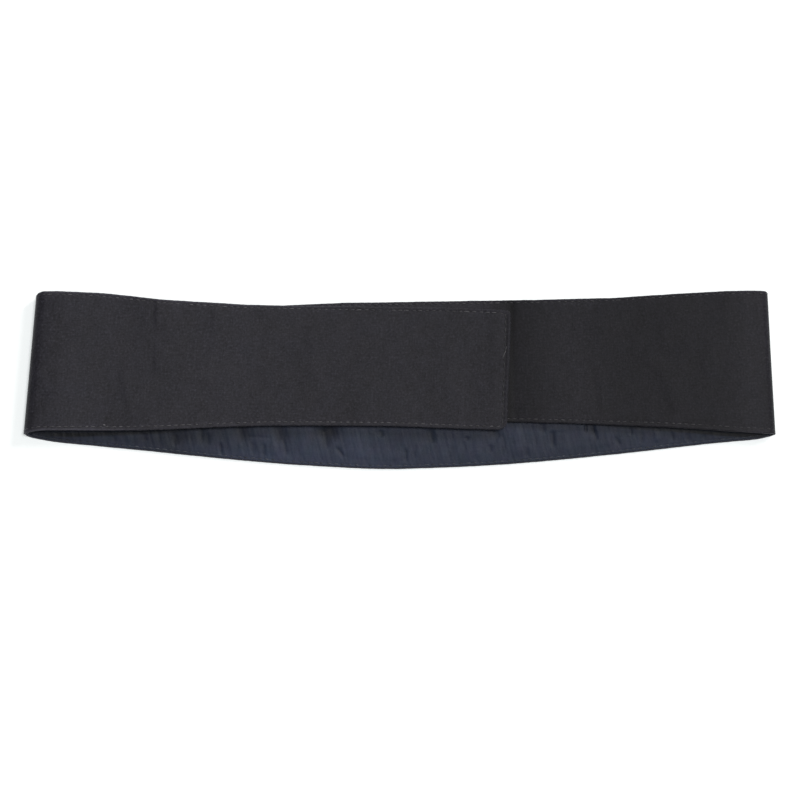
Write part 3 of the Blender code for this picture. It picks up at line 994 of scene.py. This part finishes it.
# ===================================================================== materials
class Nodes:
    """Short names for building a node material."""

    def __init__(self, name):
        self.material = bpy.data.materials.new(name)
        self.material.use_nodes = True
        self.tree = self.material.node_tree
        self.shader = self.tree.nodes["Principled BSDF"]

    def node(self, kind, **values):
        made = self.tree.nodes.new(kind)
        for key, value in values.items():
            setattr(made, key, value)
        return made

    def link(self, a, b):
        self.tree.links.new(a, b)

    def attribute(self, name, output="Fac"):
        return self.node("ShaderNodeAttribute", attribute_name=name).outputs[output]

    def math(self, operation, a, b=None, c=None, clamp=False):
        made = self.node("ShaderNodeMath", operation=operation, use_clamp=clamp)
        for k, value in enumerate((a, b, c)):
            if value is None:
                continue
            if isinstance(value, (int, float)):
                made.inputs[k].default_value = value
            else:
                self.link(value, made.inputs[k])
        return made.outputs[0]

    def noise(self, vector, scale, detail=2.0, roughness=0.5):
        made = self.node("ShaderNodeTexNoise")
        made.inputs["Scale"].default_value = scale
        made.inputs["Detail"].default_value = detail
        made.inputs["Roughness"].default_value = roughness
        self.link(vector, made.inputs["Vector"])
        return made.outputs["Fac"]

    def stretched(self, vector, x, y, turn=0.0):
        made = self.node("ShaderNodeMapping")
        made.inputs["Scale"].default_value = (x, y, 1.0)
        made.inputs["Rotation"].default_value = (0.0, 0.0, turn)
        self.link(vector, made.inputs["Vector"])
        return made.outputs[0]

    def wave(self, vector, scale, distortion=0.0):
        """Bands across X, scale to the metre."""
        made = self.node("ShaderNodeTexWave", wave_type="BANDS", bands_direction="X")
        made.inputs["Scale"].default_value = scale * math.pi / 10 * 1.0
        made.inputs["Distortion"].default_value = distortion
        self.link(vector, made.inputs["Vector"])
        return made.outputs["Fac"]

    def blend(self, factor, first, second):
        made = self.node("ShaderNodeMix", data_type="RGBA")
        self.link(factor, made.inputs["Factor"])
        for value, socket in ((first, made.inputs["A"]), (second, made.inputs["B"])):
            if isinstance(value, tuple):
                socket.default_value = (*value, 1.0)
            else:
                self.link(value, socket)
        return made.outputs["Result"]

    def bump(self, height, strength, distance, before=None):
        made = self.node("ShaderNodeBump")
        made.inputs["Strength"].default_value = strength
        made.inputs["Distance"].default_value = distance
        self.link(height, made.inputs["Height"])
        if before is not None:
            self.link(before, made.inputs["Normal"])
        return made.outputs[0]


CLOTH_COLOUR = (0.0305, 0.0296, 0.0378)
LINING_COLOUR = (0.0270, 0.0338, 0.0590)
THREAD_COLOUR = (0.090, 0.087, 0.097)


def outer_cloth():
    m = Nodes("outer_cloth")
    at = m.attribute("cloth", "Vector")
    # a fine twill: ribs across a plain grid of yarns, 0.34 mm apart
    twill = m.wave(m.stretched(at, 1.0, 1.0, math.radians(58)), 2900.0)
    yarn = m.wave(m.stretched(at, 1.0, 1.0, 0.0), 3400.0)
    pick = m.wave(m.stretched(at, 1.0, 1.0, math.radians(90)), 3100.0)
    weave = m.math("ADD", m.math("MULTIPLY", twill, 0.6), m.math("MULTIPLY", m.math("ADD", yarn, pick), 0.2))
    fuzz = m.noise(at, 4200.0, 3.0, 0.6)
    streak_x = m.noise(m.stretched(at, 0.12, 1.0), 1500.0, 3.0, 0.6)
    streak_y = m.noise(m.stretched(at, 1.0, 0.12), 1500.0, 3.0, 0.6)
    mottle = m.noise(m.stretched(at, 1.0, 0.7), 240.0, 3.0, 0.55)
    cloud = m.noise(m.stretched(at, 1.0, 0.42), 62.0, 3.0, 0.5)
    # brightness: weave, slubs, mottling, slow clouds
    grain = m.noise(at, 860.0, 2.0, 0.6)
    tone = m.math("MULTIPLY_ADD", weave, 0.26, 0.74)
    tone = m.math("MULTIPLY_ADD", m.math("SUBTRACT", grain, 0.5), 1.35, tone)
    tone = m.math("MULTIPLY_ADD", m.math("SUBTRACT", streak_x, 0.5), 0.62, tone)
    tone = m.math("MULTIPLY_ADD", m.math("SUBTRACT", streak_y, 0.5), 0.55, tone)
    tone = m.math("MULTIPLY_ADD", m.math("SUBTRACT", mottle, 0.5), 0.55, tone)
    tone = m.math("MULTIPLY_ADD", m.math("SUBTRACT", cloud, 0.5), 0.46, tone)
    # slubs that stand out lighter than the ground
    tone = m.math("MULTIPLY_ADD", m.math("SUBTRACT", grain, 0.58, clamp=True), 2.2, tone)
    # painted highlight along the rolled edges, from the rim attribute
    tone = m.math("MULTIPLY_ADD", m.attribute("rim"), 0.55, tone)
    warm = m.blend(m.math("MULTIPLY_ADD", m.math("SUBTRACT", m.noise(at, 95.0, 3.0), 0.5), 0.8, 0.5, clamp=True),
                   (CLOTH_COLOUR[0] * 1.05, CLOTH_COLOUR[1] * 1.01, CLOTH_COLOUR[2] * 0.93),
                   (CLOTH_COLOUR[0] * 0.96, CLOTH_COLOUR[1] * 0.99, CLOTH_COLOUR[2] * 1.07))
    tone = m.math("MULTIPLY", tone, m.attribute("tone"))
    coloured = m.node("ShaderNodeVectorMath", operation="SCALE")
    m.link(warm, coloured.inputs[0])
    m.link(tone, coloured.inputs["Scale"])
    m.link(coloured.outputs[0], m.shader.inputs["Base Color"])
    m.link(m.math("MULTIPLY_ADD", grain, 0.10, 0.39), m.shader.inputs["Roughness"])
    normal = m.bump(mottle, 0.25, 0.00025)
    normal = m.bump(m.math("ADD", m.math("ADD", streak_x, streak_y), grain), 0.30, 0.00008, normal)
    normal = m.bump(m.math("ADD", weave, m.math("MULTIPLY", fuzz, 0.5)), 0.45, 0.00005, normal)
    m.link(normal, m.shader.inputs["Normal"])
    m.shader.inputs["Specular IOR Level"].default_value = 0.12
    m.shader.inputs["Sheen Weight"].default_value = 0.06
    m.shader.inputs["Sheen Roughness"].default_value = 0.45
    return m.material


def lining_cloth():
    m = Nodes("lining_cloth")
    at = m.attribute("cloth", "Vector")
    yarn = m.wave(m.stretched(at, 1.0, 1.0, 0.0), 5200.0)
    pick = m.wave(m.stretched(at, 1.0, 1.0, math.radians(90)), 4300.0)
    weave = m.math("MULTIPLY", m.math("ADD", yarn, pick), 0.5)
    upright = m.noise(m.stretched(at, 1.0, 0.30, math.radians(9)), 760.0, 4.0, 0.62)
    level = m.noise(m.stretched(at, 0.22, 1.0), 900.0, 4.0, 0.62)
    mottle = m.noise(m.stretched(at, 1.0, 0.6), 300.0, 4.0, 0.6)
    cloud = m.noise(m.stretched(at, 1.0, 0.55), 70.0, 3.0, 0.55)
    tone = m.math("MULTIPLY_ADD", weave, 0.14, 0.90)
    tone = m.math("MULTIPLY_ADD", m.math("SUBTRACT", upright, 0.5), 0.62, tone)
    tone = m.math("MULTIPLY_ADD", m.math("SUBTRACT", level, 0.5), 0.30, tone)
    tone = m.math("MULTIPLY_ADD", m.math("SUBTRACT", mottle, 0.5), 0.40, tone)
    tone = m.math("MULTIPLY_ADD", m.math("SUBTRACT", cloud, 0.5), 0.30, tone)
    hue = m.blend(m.math("MULTIPLY_ADD", m.math("SUBTRACT", m.noise(at, 160.0, 3.0), 0.5), 2.2, 0.5, clamp=True),
                  (LINING_COLOUR[0] * 1.07, LINING_COLOUR[1] * 0.97, LINING_COLOUR[2] * 1.02),
                  (LINING_COLOUR[0] * 0.92, LINING_COLOUR[1] * 1.04, LINING_COLOUR[2] * 0.99))
    tone = m.math("MULTIPLY", tone, m.attribute("tone"))
    coloured = m.node("ShaderNodeVectorMath", operation="SCALE")
    m.link(hue, coloured.inputs[0])
    m.link(tone, coloured.inputs["Scale"])
    m.link(coloured.outputs[0], m.shader.inputs["Base Color"])
    m.link(m.math("MULTIPLY_ADD", mottle, 0.12, 0.37), m.shader.inputs["Roughness"])
    normal = m.bump(m.math("ADD", mottle, cloud), 0.35, 0.0004)
    normal = m.bump(m.math("ADD", upright, m.math("MULTIPLY", level, 0.6)), 0.30, 0.00008, normal)
    normal = m.bump(weave, 0.30, 0.00004, normal)
    m.link(normal, m.shader.inputs["Normal"])
    m.shader.inputs["Specular IOR Level"].default_value = 0.17
    m.shader.inputs["Sheen Weight"].default_value = 0.04
    m.shader.inputs["Sheen Roughness"].default_value = 0.4
    return m.material


def thread(name, colour):
    m = Nodes(name)
    place = m.node("ShaderNodeTexCoord").outputs["Object"]
    twist = m.wave(m.stretched(place, 1.0, 1.0, math.radians(40)), 5200.0, 1.0)
    fibre = m.noise(place, 5200.0, 2.0, 0.6)
    tone = m.math("MULTIPLY", m.attribute("tone"), m.math("MULTIPLY_ADD", twist, 0.35, 0.72))
    tone = m.math("MULTIPLY", tone, m.math("MULTIPLY_ADD", fibre, 0.4, 0.8))
    coloured = m.node("ShaderNodeVectorMath", operation="SCALE")
    coloured.inputs[0].default_value = colour
    m.link(tone, coloured.inputs["Scale"])
    m.link(coloured.outputs[0], m.shader.inputs["Base Color"])
    m.link(m.math("MULTIPLY_ADD", fibre, 0.2, 0.4), m.shader.inputs["Roughness"])
    m.link(m.bump(twist, 0.4, 0.00004), m.shader.inputs["Normal"])
    m.shader.inputs["Specular IOR Level"].default_value = 0.3
    return m.material


# ======================================================================== pieces
FINE = {"overlap": PITCH / 5, "turn": 22, "back": PITCH / 3, "underlap": PITCH / 4}
cloth_strip = Strip(FINE)
rim = rim_places(CLOTH_R)
cloth_rows = spaced_rows(
    rim, [0.75, 1.0, 1.25, 1.5, 1.75, 2.0, 2.3], [2.8, 3.6, 4.8, 6.2], [2.8, 3.6, 4.8, 6.2], 30
)
cloth_inner = spaced_rows(rim, [1.2, 2.6], [7.0], [7.0], 5)
cloth = grid_shell(
    "outer_cloth_band", cloth_strip, cloth_rows, cloth_inner,
    outer_surface(cloth_strip), ("cloth", "tone", "rim"),
)
cloth.data.materials.append(outer_cloth())

LINED = {"overlap": 2.2, "turn": 14, "back": 0.6, "underlap": 2.2}
lining_strip = Strip(LINED, LINING_INSET)
rim = rim_places(LINING_R)
lining_rows = spaced_rows(rim, [1.5], [6.0], [6.0], 4)
lining_inner = spaced_rows(
    rim, [0.6, 0.85, 1.1, 1.4, 1.8],
    [2.3 + 0.55 * k for k in range(32)], [2.6, 4.0, 6.0], 14,
)
lining = grid_shell(
    "lining_band", lining_strip, lining_rows, lining_inner,
    lining_surface(lining_strip), ("cloth", "tone"),
)
lining.data.materials.append(lining_cloth())

face_thread = stitches("topstitching_on_cloth", cloth_strip, "cloth", 5)
face_thread.data.materials.append(thread("face_thread", THREAD_COLOUR))
lining_thread = stitches("topstitching_on_lining", lining_strip, "lining", 6)
lining_thread.data.materials.append(thread("lining_thread", (0.062, 0.067, 0.086)))

for piece in (cloth, lining, face_thread, lining_thread):
    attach(piece, "root")
PARTS = ("back", "left_fold", "overlap", "right_fold", "underlap")
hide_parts(*("cloth_" + part for part in PARTS))
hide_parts(*("lining_" + part for part in PARTS))

# ========================================================= floor, light, camera
floor_mesh = bpy.data.meshes.new("floor")
R = 6.0
floor_mesh.from_pydata([(-R, -R, -0.00015), (R, -R, -0.00015), (R, R, -0.00015), (-R, R, -0.00015)], [], [(0, 1, 2, 3)])
floor = bpy.data.objects.new("floor", floor_mesh)
bpy.context.scene.collection.objects.link(floor)
pale = bpy.data.materials.new("pale_floor")
pale.use_nodes = True
paint = pale.node_tree.nodes["Principled BSDF"].inputs
paint["Base Color"].default_value = (0.88, 0.89, 0.89, 1.0)
paint["Roughness"].default_value = 0.9
paint["Specular IOR Level"].default_value = 0.0
paint["Emission Color"].default_value = (0.95, 1.0, 1.0, 1.0)
paint["Emission Strength"].default_value = 0.50  # a lit table top, as under product photographs
floor_mesh.materials.append(pale)


def soft_lamp(name, elevation, azimuth, spread, power, colour):
    """A large soft lamp far off in one direction (all angles in degrees)."""
    lamp = bpy.data.lights.new(name, "SUN")
    lamp.energy, lamp.angle, lamp.color = power, math.radians(spread), colour
    e, a = math.radians(elevation), math.radians(azimuth)
    toward = Vector((math.cos(e) * math.cos(a), math.cos(e) * math.sin(a), math.sin(e)))
    made = bpy.data.objects.new(name, lamp)
    made.location = toward * 2.0
    made.rotation_euler = (-toward).to_track_quat("-Z", "Y").to_euler()
    bpy.context.scene.collection.objects.link(made)


soft_lamp("overhead", 76, 40, 17, 1.14, (1.0, 1.0, 1.0))
soft_lamp("side", 32, 40, 18, 1.38, (1.0, 0.975, 0.95))

# a room that is bright low down all round and dimmer above
world = bpy.data.worlds.new("studio")
world.use_nodes = True
tree = world.node_tree
direction = tree.nodes.new("ShaderNodeTexCoord").outputs["Generated"]
height = tree.nodes.new("ShaderNodeSeparateXYZ")
tree.links.new(direction, height.inputs[0])
ramp = tree.nodes.new("ShaderNodeMapRange")
ramp.interpolation_type = "SMOOTHSTEP"
ramp.inputs["From Min"].default_value = 0.06
ramp.inputs["From Max"].default_value = 0.13
ramp.inputs["To Min"].default_value = 1.0
ramp.inputs["To Max"].default_value = 0.14
tree.links.new(height.outputs["Z"], ramp.inputs["Value"])
tree.nodes["Background"].inputs["Color"].default_value = (1.0, 1.0, 1.0, 1.0)
tree.links.new(ramp.outputs["Result"], tree.nodes["Background"].inputs["Strength"])
bpy.context.scene.world = world
bpy.context.scene.view_settings.view_transform = "Standard"

camera_data = bpy.data.cameras.new("camera")
camera_data.type = "PERSP"
camera_data.sensor_width = 36.0
DISTANCE = 3.0
camera_data.lens = 36.0 * DISTANCE / 0.400
camera_data.clip_start, camera_data.clip_end = 0.1, 20.0
camera = bpy.data.objects.new("camera", camera_data)
camera.location = (0.00025, -0.010175, DISTANCE + 0.0055)
camera.rotation_euler = (0.0, 0.0, 0.0)
bpy.context.scene.collection.objects.link(camera)
bpy.context.scene.camera = camera
